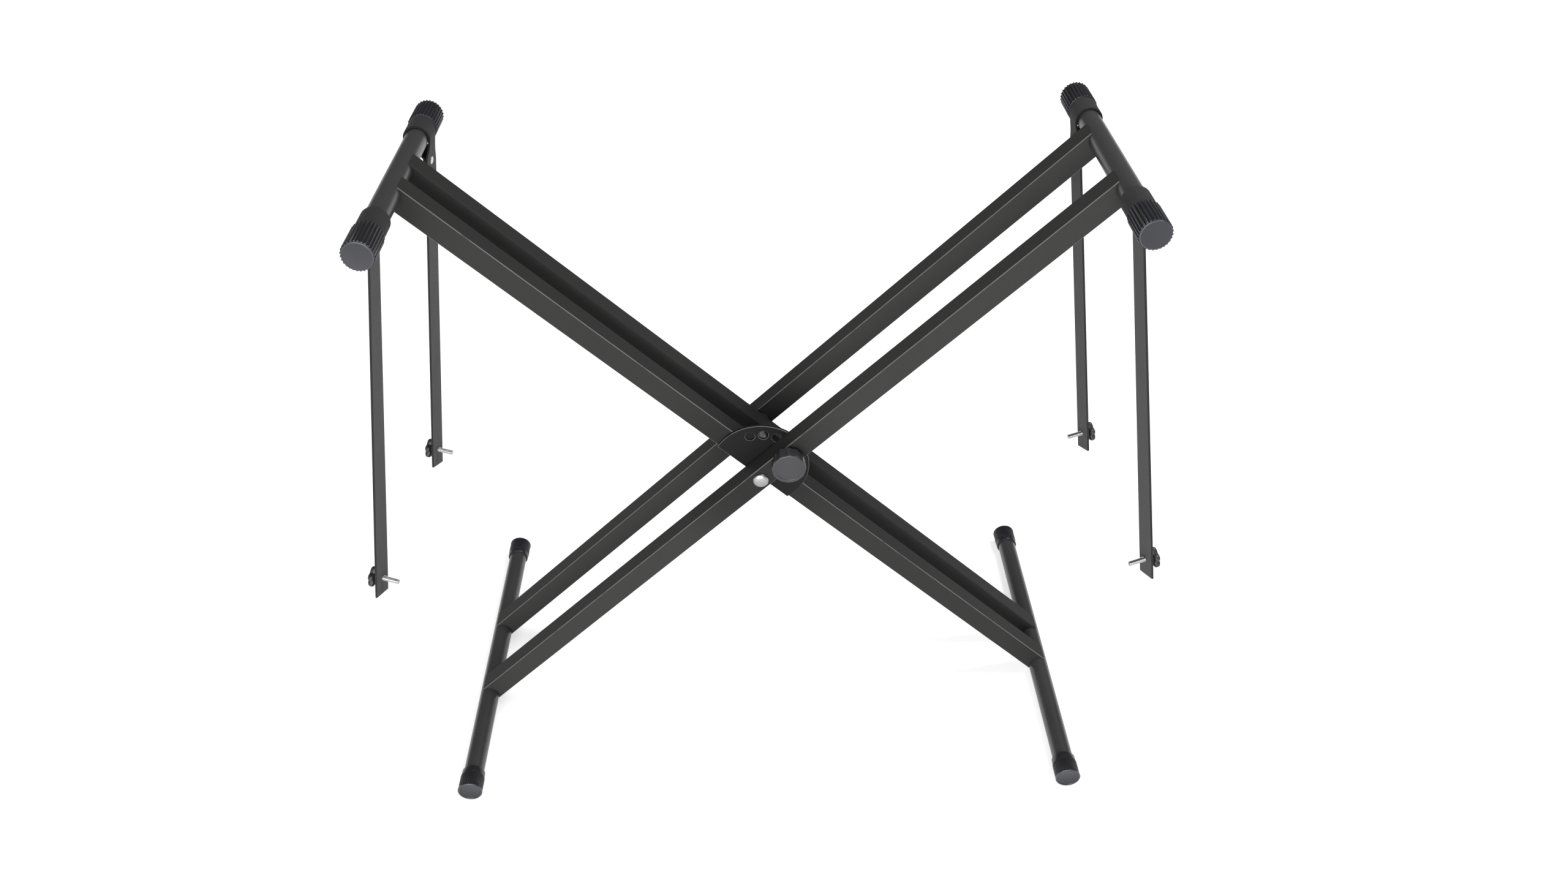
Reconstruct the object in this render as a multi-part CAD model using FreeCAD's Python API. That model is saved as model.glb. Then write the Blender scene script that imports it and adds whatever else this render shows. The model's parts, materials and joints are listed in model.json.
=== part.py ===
import FreeCAD, Part
import math
import os

# Folding keyboard stand: two pairs of square legs cross at one pivot and carry a round arm
# tube at the top and a round foot tube at the bottom. The inner pair runs from the left arm to
# the right foot, the outer pair from the right arm to the left foot. Millimetres, +Z up, +X to
# the right, +Y to the back. The origin is on the floor, midway between the arms and the feet.

# ---- frame ----
LEG_LENGTH = 1000.0  # between the arm tube's axis and the foot tube's axis
LEAN_DEG = 44.06  # slope of both pairs of legs above the floor
LEG_WIDTH = 25.0
LEG_WALL = 1.5
LEG_CORNER = 1.2
INNER_GAP = 30.0  # open space between the two inner legs
SIDE_CLEARANCE = 0.3  # between parts that turn past each other
LIP_SETBACK = 2.0  # how far a coped leg end stops short of the cross tube's axis
WELD_GAP = 0.05  # between parts that are welded or pressed together

ARM_TUBE_RADIUS = 12.0
ARM_TUBE_WALL = 1.5
ARM_HALF_LENGTH = 166.0  # to the end faces of its caps
FOOT_TUBE_RADIUS = 12.0
FOOT_TUBE_WALL = 1.5
FOOT_HALF_LENGTH = 222.0  # to the end faces of its caps

# ---- ribbed arm caps ----
ARM_CAP_RADIUS = 16.0
ARM_CAP_LENGTH = 41.0
CAP_END_WALL = 4.0
ARM_RIB_COUNT = 28
ARM_RIB_DEPTH = 1.0
CAP_CHAMFER = 1.2

# ---- foot caps ----
FOOT_CAP_RADIUS = 14.7
FOOT_CAP_LENGTH = 29.0
FOOT_RIM_LENGTH = 2.5
FOOT_COLLAR_LENGTH = 8.0
FOOT_COLLAR_STEP = 0.8  # collar radius below the rim's
FOOT_RIB_COUNT = 28
FOOT_RIB_DEPTH = 0.5
FOOT_RIB_STEP = 0.25  # rib crest radius below the rim's
FOOT_CHAMFER = 0.8

# ---- pivot ----
BOLT_RADIUS = 5.0
BOLT_HEAD_RADIUS = 9.0
BOLT_HEAD_HEIGHT = 4.2
BOLT_FIT = 0.08  # running clearance of the bolt in its sleeve
SLEEVE_WALL = 3.0
CRUSH_SLEEVE_WALL = 2.5
NYLON_WASHER_RADIUS = 12.0
FRONT_WASHER_THICKNESS = 0.7
STEEL_WASHER_RADIUS = 10.5
STEEL_WASHER_THICKNESS = 1.2
NUT_ACROSS_FLATS = 17.0
NUT_HEIGHT = 5.0
BOLT_END_STICKOUT = 0.5  # past the nut
NUT_CHAMFER = 0.8

# ---- locking plate and pull knob ----
PLATE_THICKNESS = 3.5
PLATE_MARGIN = 6.75  # plate left outside the holes
PLATE_EDGE = 0.5  # chamfer of its front face and of the holes
LOCK_RADIUS = 43.5  # from the pivot to the pin and to each hole
LOCK_HOLE_RADIUS = 5.75
LOCK_HOLE_PITCH_DEG = 20.2
HOLES_BELOW_REST = 1
HOLES_ABOVE_REST = 3
LOCK_PIN_RADIUS = 5.4
LOCK_PIN_FIT = 0.08
LOCK_PIN_NOSE = 10.5
LOCK_PIN_CHAMFER = 0.6
PIN_LIFT = 0.4  # the stored pin stands this far off the plate
LOCK_STEM_RADIUS = 4.0
LOCK_SLEEVE_WALL = 3.0
LOCK_SLEEVE_PROUD = 8.0
LOCK_SLEEVE_CAP = 5.0
LOCK_TRAVEL_IN = 3.5
LOCK_TRAVEL_OUT = 3.0
SPRING_WIRE = 0.9
SPRING_SEAT_GAP = 0.1
KNOB_RADIUS = 19.0
KNOB_DEPTH = 17.0
KNOB_WEB = 6.0
KNOB_POCKET_WALL = 4.5
KNOB_FLUTES = 12
KNOB_FLUTE_DEPTH = 1.0
KNOB_RIM = 1.2  # chamfer round the face
KNOB_FACE_RADIUS = 15.0
KNOB_FACE_RECESS = 0.6
KNOB_STEM_COVER = 2.5

# ---- webbing straps ----
FRONT_STRAP_LENGTH = 472.0  # from the arm tube's axis to the lower end
REAR_STRAP_LENGTH = 450.0
STRAP_WIDTH = 30.4
STRAP_THICKNESS = 2.4
STRAP_FIT = 0.3  # loop clearance round the tube, and beside the cap
FRONT_SWING_DEG = 10.5  # outward from hanging straight down
REAR_SWING_DEG = 9.0
REAR_PLY_SHIFT = 10.3  # the rear loops close towards the stand's middle by this much
STRAP_TWIST_DEG = 12.0
TWIST_START = 38.0
TWIST_END = 60.0
LOOP_CLOSE = 22.0  # where the two plies meet under the tube
PLY_END = 36.0  # where the returned ply stops
RIVET_DROP = 29.0
RIVET_RADIUS = 2.0
RIVET_HEAD_RADIUS = 4.5
RIVET_HEAD_HEIGHT = 1.2

# ---- thumb screws ----
SCREW_RADIUS = 3.0
SCREW_NECK_STEP = 0.4  # the neck through knob and strap is this much thinner all round
SCREW_NECK_REACH = 1.0  # the neck ends this far past the strap
SCREW_FIT = 0.06
SCREW_REACH = 20.0  # free end past the strap
SCREW_CHAMFER = 0.5
SCREW_RISE = 19.0  # above the strap's lower end
SCREW_IN_KNOB = 8.5
THUMB_BOSS_RADIUS = 7.0
THUMB_BOSS_HEIGHT = 4.0
THUMB_RADIUS = 13.5
THUMB_THICKNESS = 7.0
THUMB_LOBES = 6
THUMB_VALLEY = 2.4
THUMB_EDGE = 1.2

# ---- worked out from the sizes above ----
LEAN = math.radians(LEAN_DEG)
FOOT_HEIGHT = FOOT_CAP_RADIUS
PIVOT_HEIGHT = FOOT_HEIGHT + LEG_LENGTH / 2 * math.sin(LEAN)
ARM_HEIGHT = FOOT_HEIGHT + LEG_LENGTH * math.sin(LEAN)
ARM_REACH = LEG_LENGTH / 2 * math.cos(LEAN)
SIDE_GAP = PLATE_THICKNESS + FRONT_WASHER_THICKNESS + SIDE_CLEARANCE
INNER_OFFSET = INNER_GAP / 2 + LEG_WIDTH / 2
OUTER_OFFSET = INNER_OFFSET + LEG_WIDTH + SIDE_GAP
INNER_FACE = INNER_OFFSET + LEG_WIDTH / 2  # outward face of the inner legs
OUTER_BACK = OUTER_OFFSET - LEG_WIDTH / 2  # inward face of the outer legs
OUTER_FACE = OUTER_OFFSET + LEG_WIDTH / 2
SLEEVE_BORE = BOLT_RADIUS + BOLT_FIT
SLEEVE_RADIUS = SLEEVE_BORE + SLEEVE_WALL
PLATE_RADIUS = LOCK_RADIUS + LOCK_HOLE_RADIUS + PLATE_MARGIN
LOCK_SLEEVE_RADIUS = LOCK_PIN_RADIUS + LOCK_PIN_FIT + LOCK_SLEEVE_WALL
LOCK_SLEEVE_FRONT = OUTER_FACE + LOCK_SLEEVE_PROUD
STRAP_Y = ARM_HALF_LENGTH - ARM_CAP_LENGTH - STRAP_FIT - STRAP_WIDTH / 2
SIDES = (("front", -1), ("rear", 1))

UP = FreeCAD.Vector(0, 0, 1)
ORIGIN = FreeCAD.Vector(0, 0, 0)
Y_AXIS = FreeCAD.Vector(0, 1, 0)


def vec(x, y, z):
    return FreeCAD.Vector(x, y, z)


def rod(radius, y_start, y_end, x=0.0, z=0.0):
    """Solid cylinder along Y."""
    return Part.makeCylinder(radius, y_end - y_start, vec(x, y_start, z), Y_AXIS)


def ring(outer, inner, y_start, y_end, x=0.0, z=0.0):
    """Hollow cylinder along Y."""
    return rod(outer, y_start, y_end, x, z).cut(rod(inner, y_start - 1, y_end + 1, x, z))


def revolve_about_z(points):
    """Closed outline of (radius, height) points turned about Z."""
    outline = Part.makePolygon([vec(r, 0, z) for r, z in points + points[:1]])
    return Part.Face(outline).revolve(ORIGIN, UP, 360)


def aim(shape, origin, direction):
    """Turn a shape modelled along +Z to a direction and move it to its origin."""
    placed = shape.copy()
    turn = FreeCAD.Rotation(UP, direction)
    placed.Placement = FreeCAD.Placement(origin, turn).multiply(placed.Placement)
    return placed


def lay_on_leg(shape, slope):
    """Turn a shape modelled along X about the pivot to a leg's slope, in degrees."""
    placed = shape.copy()
    placed.rotate(ORIGIN, Y_AXIS, -slope)
    placed.translate(vec(0, 0, PIVOT_HEIGHT))
    return placed


def fluted_prism(crest, root, count, height):
    """Prism with rounded-off square ribs round its edge, from z = 0 up."""
    points = []
    pitch = 2 * math.pi / count
    for rib in range(count):
        for share, radius in ((-0.32, root), (-0.22, crest), (0.22, crest), (0.32, root)):
            angle = (rib + share) * pitch
            points.append(vec(radius * math.cos(angle), radius * math.sin(angle), 0))
    outline = Part.makePolygon(points + points[:1])
    return Part.Face(outline).extrude(vec(0, 0, height))


# ---- legs ----

def square_tube(length):
    """Square tube with rounded edges along X, centred on the origin."""
    half = LEG_WIDTH / 2
    bar = Part.makeBox(length, LEG_WIDTH, LEG_WIDTH, vec(-length / 2, -half, -half))
    long_edges = [e for e in bar.Edges if abs(e.tangentAt(e.FirstParameter).x) > 0.9]
    bar = bar.makeFillet(LEG_CORNER, long_edges)
    bore = LEG_WIDTH - 2 * LEG_WALL
    return bar.cut(Part.makeBox(length + 2, bore, bore, vec(-length / 2 - 1, -bore / 2, -bore / 2)))


def make_leg(arm_end, holes):
    """Leg along X at y = 0, coped at both ends; arm_end is -1 or +1, holes cut through it."""
    leg = square_tube(LEG_LENGTH - 2 * LIP_SETBACK)
    reach = LEG_WIDTH
    arm_x = arm_end * LEG_LENGTH / 2
    leg = leg.cut(rod(ARM_TUBE_RADIUS + WELD_GAP, -reach, reach, x=arm_x))
    leg = leg.cut(rod(FOOT_TUBE_RADIUS + WELD_GAP, -reach, reach, x=-arm_x))
    for hole in holes:
        leg = leg.cut(hole)
    return leg


def make_inner_leg(side):
    hole = rod(SLEEVE_RADIUS + WELD_GAP, -LEG_WIDTH, LEG_WIDTH)
    leg = make_leg(-1, [hole])
    leg.translate(vec(0, side * INNER_OFFSET, 0))
    return lay_on_leg(leg, -LEAN_DEG)


def make_outer_leg(side):
    holes = [rod(BOLT_RADIUS + WELD_GAP, -LEG_WIDTH, LEG_WIDTH)]
    if side < 0:
        holes.append(rod(LOCK_SLEEVE_RADIUS + WELD_GAP, -LEG_WIDTH, LEG_WIDTH, x=LOCK_RADIUS))
    leg = make_leg(1, holes)
    leg.translate(vec(0, side * OUTER_OFFSET, 0))
    return lay_on_leg(leg, LEAN_DEG)


# ---- cross tubes and their caps ----

def make_arm_tube(sign):
    half = ARM_HALF_LENGTH - CAP_END_WALL - WELD_GAP
    bore = ARM_TUBE_RADIUS - ARM_TUBE_WALL
    return ring(ARM_TUBE_RADIUS, bore, -half, half, sign * ARM_REACH, ARM_HEIGHT)


def make_foot_tube(sign):
    half = FOOT_HALF_LENGTH - CAP_END_WALL - WELD_GAP
    bore = FOOT_TUBE_RADIUS - FOOT_TUBE_WALL
    return ring(FOOT_TUBE_RADIUS, bore, -half, half, sign * ARM_REACH, FOOT_HEIGHT)


def tube_socket(tube_radius, length):
    """What a cap leaves free for its tube, along Z from below its mouth."""
    return Part.makeCylinder(tube_radius + WELD_GAP, length - CAP_END_WALL + 1, vec(0, 0, -1))


def chamfered_core(radius, length, chamfer):
    return revolve_about_z([(0, 0), (radius, 0), (radius, length - chamfer),
                            (radius - chamfer, length), (0, length)])


def make_arm_cap(sign, side):
    root = ARM_CAP_RADIUS - ARM_RIB_DEPTH
    ribs = fluted_prism(ARM_CAP_RADIUS, root, ARM_RIB_COUNT, ARM_CAP_LENGTH)
    crest = chamfered_core(ARM_CAP_RADIUS + 0.01, ARM_CAP_LENGTH, CAP_CHAMFER)
    cap = ribs.common(crest)
    cap = cap.cut(tube_socket(ARM_TUBE_RADIUS, ARM_CAP_LENGTH))
    mouth = vec(sign * ARM_REACH, side * (ARM_HALF_LENGTH - ARM_CAP_LENGTH), ARM_HEIGHT)
    return aim(cap, mouth, vec(0, side, 0))


def make_foot_cap(sign, side):
    rib_end = FOOT_CAP_LENGTH - FOOT_RIM_LENGTH
    crest = FOOT_CAP_RADIUS - FOOT_RIB_STEP
    collar = FOOT_CAP_RADIUS - FOOT_COLLAR_STEP
    body = revolve_about_z([
        (0, 0), (collar - FOOT_CHAMFER, 0), (collar, FOOT_CHAMFER), (collar, rib_end),
        (FOOT_CAP_RADIUS, rib_end), (FOOT_CAP_RADIUS, FOOT_CAP_LENGTH - FOOT_CHAMFER),
        (FOOT_CAP_RADIUS - FOOT_CHAMFER, FOOT_CAP_LENGTH), (0, FOOT_CAP_LENGTH)])
    ribs = fluted_prism(crest, crest - FOOT_RIB_DEPTH, FOOT_RIB_COUNT, rib_end - FOOT_COLLAR_LENGTH)
    ribs.translate(vec(0, 0, FOOT_COLLAR_LENGTH))
    cap = body.fuse(ribs).cut(tube_socket(FOOT_TUBE_RADIUS, FOOT_CAP_LENGTH))
    mouth = vec(sign * ARM_REACH, side * (FOOT_HALF_LENGTH - FOOT_CAP_LENGTH), FOOT_HEIGHT)
    return aim(cap, mouth, vec(0, side, 0))


# ---- pivot ----

def make_pivot_sleeve():
    return ring(SLEEVE_RADIUS, SLEEVE_BORE, -INNER_FACE, INNER_FACE, z=PIVOT_HEIGHT)


def make_pivot_bolt():
    end = OUTER_FACE + STEEL_WASHER_THICKNESS + NUT_HEIGHT + BOLT_END_STICKOUT
    shank = rod(BOLT_RADIUS, -OUTER_FACE - BOLT_HEAD_HEIGHT / 2, end, z=PIVOT_HEIGHT)
    ball_radius = (BOLT_HEAD_RADIUS ** 2 + BOLT_HEAD_HEIGHT ** 2) / (2 * BOLT_HEAD_HEIGHT)
    centre_y = -OUTER_FACE - BOLT_HEAD_HEIGHT + ball_radius
    ball = Part.makeSphere(ball_radius, vec(0, centre_y, PIVOT_HEIGHT))
    head = ball.common(rod(BOLT_HEAD_RADIUS, -OUTER_FACE - ball_radius, -OUTER_FACE, z=PIVOT_HEIGHT))
    return head.fuse(shank)


def make_pivot_nut():
    start = OUTER_FACE + STEEL_WASHER_THICKNESS
    corner = NUT_ACROSS_FLATS / math.sqrt(3)
    points = [vec(corner * math.cos(math.radians(60 * i)), corner * math.sin(math.radians(60 * i)), 0)
              for i in range(7)]
    prism = Part.Face(Part.makePolygon(points)).extrude(vec(0, 0, NUT_HEIGHT))
    nut = prism.common(chamfered_core(corner, NUT_HEIGHT, NUT_CHAMFER))
    nut = nut.cut(Part.makeCylinder(BOLT_RADIUS + WELD_GAP, NUT_HEIGHT + 2, vec(0, 0, -1)))
    return aim(nut, vec(0, start, PIVOT_HEIGHT), Y_AXIS)


def make_nut_washer():
    return ring(STEEL_WASHER_RADIUS, BOLT_RADIUS + WELD_GAP,
                OUTER_FACE, OUTER_FACE + STEEL_WASHER_THICKNESS, z=PIVOT_HEIGHT)


def make_crush_sleeve(side):
    """Tube inside an outer leg that keeps the bolt from squashing it."""
    half = LEG_WIDTH / 2 - LEG_WALL - WELD_GAP
    middle = side * OUTER_OFFSET
    bore = BOLT_RADIUS + WELD_GAP
    return ring(bore + CRUSH_SLEEVE_WALL, bore, middle - half, middle + half, z=PIVOT_HEIGHT)


def make_front_washer():
    """Nylon washer on the outer leg, a clearance away from the locking plate."""
    return ring(NYLON_WASHER_RADIUS, BOLT_RADIUS + WELD_GAP,
                -OUTER_BACK, -OUTER_BACK + FRONT_WASHER_THICKNESS, z=PIVOT_HEIGHT)


def make_rear_washer():
    """Thick nylon washer on the outer leg, where the rear has no plate."""
    return ring(NYLON_WASHER_RADIUS, BOLT_RADIUS + WELD_GAP,
                INNER_FACE + SIDE_CLEARANCE, OUTER_BACK, z=PIVOT_HEIGHT)


# ---- lock ----

def make_locking_plate():
    """Round plate on the front inner leg, cut flush with that leg's lower edge."""
    disc = Part.makeCylinder(PLATE_RADIUS, PLATE_THICKNESS, vec(0, -INNER_FACE - PLATE_THICKNESS, 0), Y_AXIS)
    size = 2 * PLATE_RADIUS + 2
    above = Part.makeBox(size, PLATE_THICKNESS + 2, size,
                         vec(-size / 2, -INNER_FACE - PLATE_THICKNESS - 1, -LEG_WIDTH / 2))
    plate = disc.common(above)
    rest_angle = 2 * LEAN_DEG  # the rest hole as seen from the inner leg's own line
    for step in range(-HOLES_BELOW_REST, HOLES_ABOVE_REST + 1):
        angle = math.radians(rest_angle + step * LOCK_HOLE_PITCH_DEG)
        plate = plate.cut(rod(LOCK_HOLE_RADIUS, -OUTER_BACK, -INNER_FACE + 1,
                              LOCK_RADIUS * math.cos(angle), LOCK_RADIUS * math.sin(angle)))
    plate = plate.cut(rod(SLEEVE_BORE, -OUTER_BACK, -INNER_FACE + 1))
    front = -INNER_FACE - PLATE_THICKNESS
    rims = [e for e in plate.Edges if abs(e.BoundBox.YMin - front) + abs(e.BoundBox.YMax - front) < 1e-6]
    return lay_on_leg(plate.makeChamfer(PLATE_EDGE, rims), -LEAN_DEG)


def at_lock(shape):
    """Move a shape from the origin to the lock's place on the outer front leg."""
    shape.translate(vec(LOCK_RADIUS, 0, 0))
    return lay_on_leg(shape, LEAN_DEG)


def make_lock_sleeve():
    body = rod(LOCK_SLEEVE_RADIUS, -LOCK_SLEEVE_FRONT, -OUTER_BACK)
    chamber = rod(LOCK_PIN_RADIUS + LOCK_PIN_FIT, -LOCK_SLEEVE_FRONT + LOCK_SLEEVE_CAP, -OUTER_BACK + 1)
    stem_hole = rod(LOCK_STEM_RADIUS + LOCK_PIN_FIT, -LOCK_SLEEVE_FRONT - 1, -OUTER_BACK)
    return at_lock(body.cut(chamber).cut(stem_hole))


def pin_tip_y():
    return -INNER_FACE - PLATE_THICKNESS - PIN_LIFT


def knob_back_y():
    return -OUTER_FACE - LOCK_TRAVEL_IN - SIDE_CLEARANCE


def make_lock_pin():
    """Nose and thinner stem, modelled along +Z from its tip and turned to point forward."""
    stem_end = pin_tip_y() - (knob_back_y() - KNOB_DEPTH + KNOB_STEM_COVER)
    pin = revolve_about_z([
        (0, 0), (LOCK_PIN_RADIUS - LOCK_PIN_CHAMFER, 0), (LOCK_PIN_RADIUS, LOCK_PIN_CHAMFER),
        (LOCK_PIN_RADIUS, LOCK_PIN_NOSE), (LOCK_STEM_RADIUS, LOCK_PIN_NOSE),
        (LOCK_STEM_RADIUS, stem_end), (0, stem_end)])
    return at_lock(aim(pin, vec(0, pin_tip_y(), 0), vec(0, -1, 0)))


def make_lock_spring():
    """Plain tube in the space of the coil spring round the stem, at its shortest."""
    front = -LOCK_SLEEVE_FRONT + LOCK_SLEEVE_CAP + SPRING_SEAT_GAP
    back = pin_tip_y() - LOCK_PIN_NOSE - LOCK_TRAVEL_OUT - SPRING_SEAT_GAP
    inner = LOCK_STEM_RADIUS + SPRING_SEAT_GAP
    return at_lock(ring(inner + SPRING_WIRE, inner, front, back))


def make_lock_knob():
    """Fluted grip with a rimmed face and a pocket that slides over the sleeve's nose."""
    grip = fluted_prism(KNOB_RADIUS, KNOB_RADIUS - KNOB_FLUTE_DEPTH, KNOB_FLUTES, KNOB_DEPTH)
    grip = grip.common(chamfered_core(KNOB_RADIUS + 0.01, KNOB_DEPTH, KNOB_RIM))
    grip = grip.cut(Part.makeCylinder(KNOB_FACE_RADIUS, KNOB_FACE_RECESS + 1,
                                      vec(0, 0, KNOB_DEPTH - KNOB_FACE_RECESS)))
    pocket_depth = KNOB_DEPTH - KNOB_WEB
    pocket_radius = KNOB_RADIUS - KNOB_FLUTE_DEPTH - KNOB_POCKET_WALL
    grip = grip.cut(Part.makeCylinder(pocket_radius, pocket_depth + 1, vec(0, 0, -1)))
    bore_depth = KNOB_DEPTH - KNOB_STEM_COVER + WELD_GAP
    grip = grip.cut(Part.makeCylinder(LOCK_STEM_RADIUS + WELD_GAP, bore_depth + 1, vec(0, 0, -1)))
    return at_lock(aim(grip, vec(0, knob_back_y(), 0), vec(0, -1, 0)))


# ---- straps ----
# Each strap is modelled hanging from the origin along -Z, with +X towards the stand's middle
# and its width along Y, and then hung from its arm. The main ply runs from shift to shift plus
# its thickness, and the returned ply lies on its outer side.

def ply_shift(side):
    return 0.0 if side < 0 else REAR_PLY_SHIFT


def strap_length(side):
    return FRONT_STRAP_LENGTH if side < 0 else REAR_STRAP_LENGTH


def hang(shape, sign, side):
    """Hang a strap part from the arm on the side sign, at the front or rear."""
    swing = FRONT_SWING_DEG if side < 0 else REAR_SWING_DEG
    hung = shape if sign < 0 else shape.mirror(ORIGIN, vec(1, 0, 0))
    hung.rotate(ORIGIN, Y_AXIS, -sign * swing)
    hung.translate(vec(sign * ARM_REACH, side * STRAP_Y, ARM_HEIGHT))
    return hung


def teardrop(radius, apex_x, apex_z):
    """Prism of the strap's width: a circle with tangents that meet at an apex."""
    middle = math.atan2(apex_z, apex_x)
    spread = math.acos(radius / math.hypot(apex_x, apex_z))
    low = -STRAP_WIDTH / 2
    points = [vec(radius * math.cos(angle), low, radius * math.sin(angle))
              for angle in (middle + spread, middle - spread)]
    points.insert(1, vec(apex_x, low, apex_z))
    wedge = Part.Face(Part.makePolygon(points + points[:1])).extrude(vec(0, STRAP_WIDTH, 0))
    return rod(radius, -STRAP_WIDTH / 2, STRAP_WIDTH / 2).fuse(wedge)


def band_section(shift, drop, twist):
    """Outline of the single ply at a drop below the arm's axis, turned about its own middle."""
    turn = math.radians(twist)
    corners = []
    for across, along in ((-1, -1), (1, -1), (1, 1), (-1, 1)):
        x = across * STRAP_THICKNESS / 2
        y = along * STRAP_WIDTH / 2
        corners.append(vec(shift + STRAP_THICKNESS / 2 + x * math.cos(turn) + y * math.sin(turn),
                           -x * math.sin(turn) + y * math.cos(turn), -drop))
    return Part.makePolygon(corners + corners[:1])


def screw_frame(side):
    """Middle of the strap at the thumb screw, and the direction the screw points."""
    turn = math.radians(STRAP_TWIST_DEG)
    centre = vec(ply_shift(side) + STRAP_THICKNESS / 2, 0, -(strap_length(side) - SCREW_RISE))
    return centre, vec(math.cos(turn), -math.sin(turn), 0)


def screw_neck_radius():
    return SCREW_RADIUS - SCREW_NECK_STEP


def make_strap(side):
    shift = ply_shift(side)
    inner_radius = ARM_TUBE_RADIUS + STRAP_FIT
    outer_radius = inner_radius + STRAP_THICKNESS
    growth = outer_radius / inner_radius
    plies = Part.makeBox(2 * STRAP_THICKNESS, STRAP_WIDTH, PLY_END - LOOP_CLOSE,
                         vec(shift - STRAP_THICKNESS, -STRAP_WIDTH / 2, -PLY_END))
    loop = teardrop(outer_radius, growth * shift, -growth * LOOP_CLOSE).fuse(plies)
    loop = loop.cut(teardrop(inner_radius, shift, -LOOP_CLOSE))
    sections = [band_section(shift, drop, twist)
                for drop, twist in ((PLY_END - STRAP_THICKNESS, 0), (TWIST_START, 0),
                                    (TWIST_END, STRAP_TWIST_DEG), (strap_length(side), STRAP_TWIST_DEG))]
    strap = loop.fuse(Part.makeLoft(sections, True, True))
    centre, direction = screw_frame(side)
    bore = Part.makeCylinder(screw_neck_radius() + SCREW_FIT, 4 * STRAP_THICKNESS,
                             vec(0, 0, -2 * STRAP_THICKNESS))
    strap = strap.cut(aim(bore, centre, direction))
    rivet_bore = Part.makeCylinder(RIVET_RADIUS + WELD_GAP, 4 * STRAP_THICKNESS,
                                   vec(shift - 2 * STRAP_THICKNESS, 0, -RIVET_DROP), vec(1, 0, 0))
    return strap.cut(rivet_bore)


def make_strap_rivet(side):
    """Two low-domed heads on one shank through both plies."""
    face = STRAP_THICKNESS + WELD_GAP
    shoulder = face + RIVET_HEAD_HEIGHT / 2
    crown = face + RIVET_HEAD_HEIGHT
    half = [(RIVET_RADIUS, face), (RIVET_HEAD_RADIUS, face),
            (RIVET_HEAD_RADIUS, shoulder), (RIVET_HEAD_RADIUS * 0.6, crown), (0, crown)]
    lower = [(radius, -height) for radius, height in reversed(half)]
    rivet = revolve_about_z(lower + half)
    return aim(rivet, vec(ply_shift(side), 0, -RIVET_DROP), vec(1, 0, 0))


def make_thumb_screw(side):
    """Captive screw: a thin neck through knob and strap, then the full shank."""
    centre, direction = screw_frame(side)
    inside = STRAP_THICKNESS / 2 + SIDE_CLEARANCE + SCREW_IN_KNOB
    shank = STRAP_THICKNESS / 2 + SCREW_NECK_REACH
    end = STRAP_THICKNESS / 2 + SCREW_REACH
    neck = screw_neck_radius()
    screw = revolve_about_z([(0, -inside), (neck, -inside), (neck, shank), (SCREW_RADIUS, shank),
                             (SCREW_RADIUS, end - SCREW_CHAMFER), (SCREW_RADIUS - SCREW_CHAMFER, end),
                             (0, end)])
    return aim(screw, centre, direction)


def make_thumb_knob(side):
    """Round boss against the strap and a lobed grip behind it."""
    centre, direction = screw_frame(side)
    base = STRAP_THICKNESS / 2 + SIDE_CLEARANCE
    lobe_radius = THUMB_RADIUS * math.sin(math.pi / THUMB_LOBES) / (1 + math.sin(math.pi / THUMB_LOBES))
    lobe_radius += THUMB_VALLEY / 2
    ring_radius = THUMB_RADIUS - lobe_radius
    grip = Part.makeCylinder(ring_radius, THUMB_THICKNESS)
    for lobe in range(THUMB_LOBES):
        angle = 2 * math.pi * lobe / THUMB_LOBES
        grip = grip.fuse(Part.makeCylinder(lobe_radius, THUMB_THICKNESS,
                                           vec(ring_radius * math.cos(angle), ring_radius * math.sin(angle), 0)))
    grip = grip.removeSplitter()
    rim = [e for e in grip.Edges if abs(e.BoundBox.ZMin - e.BoundBox.ZMax) < 1e-6]
    grip = grip.makeChamfer(THUMB_EDGE, rim)
    grip.translate(vec(0, 0, THUMB_BOSS_HEIGHT))
    knob = grip.fuse(Part.makeCylinder(THUMB_BOSS_RADIUS, THUMB_BOSS_HEIGHT + 1))
    knob = knob.cut(Part.makeCylinder(screw_neck_radius() + WELD_GAP, SCREW_IN_KNOB + WELD_GAP + 1,
                                      vec(0, 0, -1)))
    start = centre - direction * base
    return aim(knob, start, direction * -1)


def all_parts():
    parts = {
        "pivot_sleeve": make_pivot_sleeve(),
        "pivot_bolt": make_pivot_bolt(),
        "pivot_nut": make_pivot_nut(),
        "nut_washer": make_nut_washer(),
        "front_gap_washer": make_front_washer(),
        "rear_gap_washer": make_rear_washer(),
        "locking_plate": make_locking_plate(),
        "lock_sleeve": make_lock_sleeve(),
        "lock_pin": make_lock_pin(),
        "lock_spring": make_lock_spring(),
        "lock_knob": make_lock_knob(),
        "left_arm_tube": make_arm_tube(-1),
        "right_arm_tube": make_arm_tube(1),
        "left_foot_tube": make_foot_tube(-1),
        "right_foot_tube": make_foot_tube(1),
    }
    for place, side in SIDES:
        parts["inner_leg_" + place] = make_inner_leg(side)
        parts["outer_leg_" + place] = make_outer_leg(side)
        parts["crush_sleeve_" + place] = make_crush_sleeve(side)
        for hand, sign in (("left", -1), ("right", 1)):
            corner = hand + "_" + place
            parts["arm_cap_" + corner] = make_arm_cap(sign, side)
            parts["foot_cap_" + corner] = make_foot_cap(sign, side)
            parts["strap_" + corner] = hang(make_strap(side), sign, side)
            parts["strap_rivet_" + corner] = hang(make_strap_rivet(side), sign, side)
            parts["thumb_screw_" + corner] = hang(make_thumb_screw(side), sign, side)
            parts["thumb_knob_" + corner] = hang(make_thumb_knob(side), sign, side)
    return parts


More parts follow.
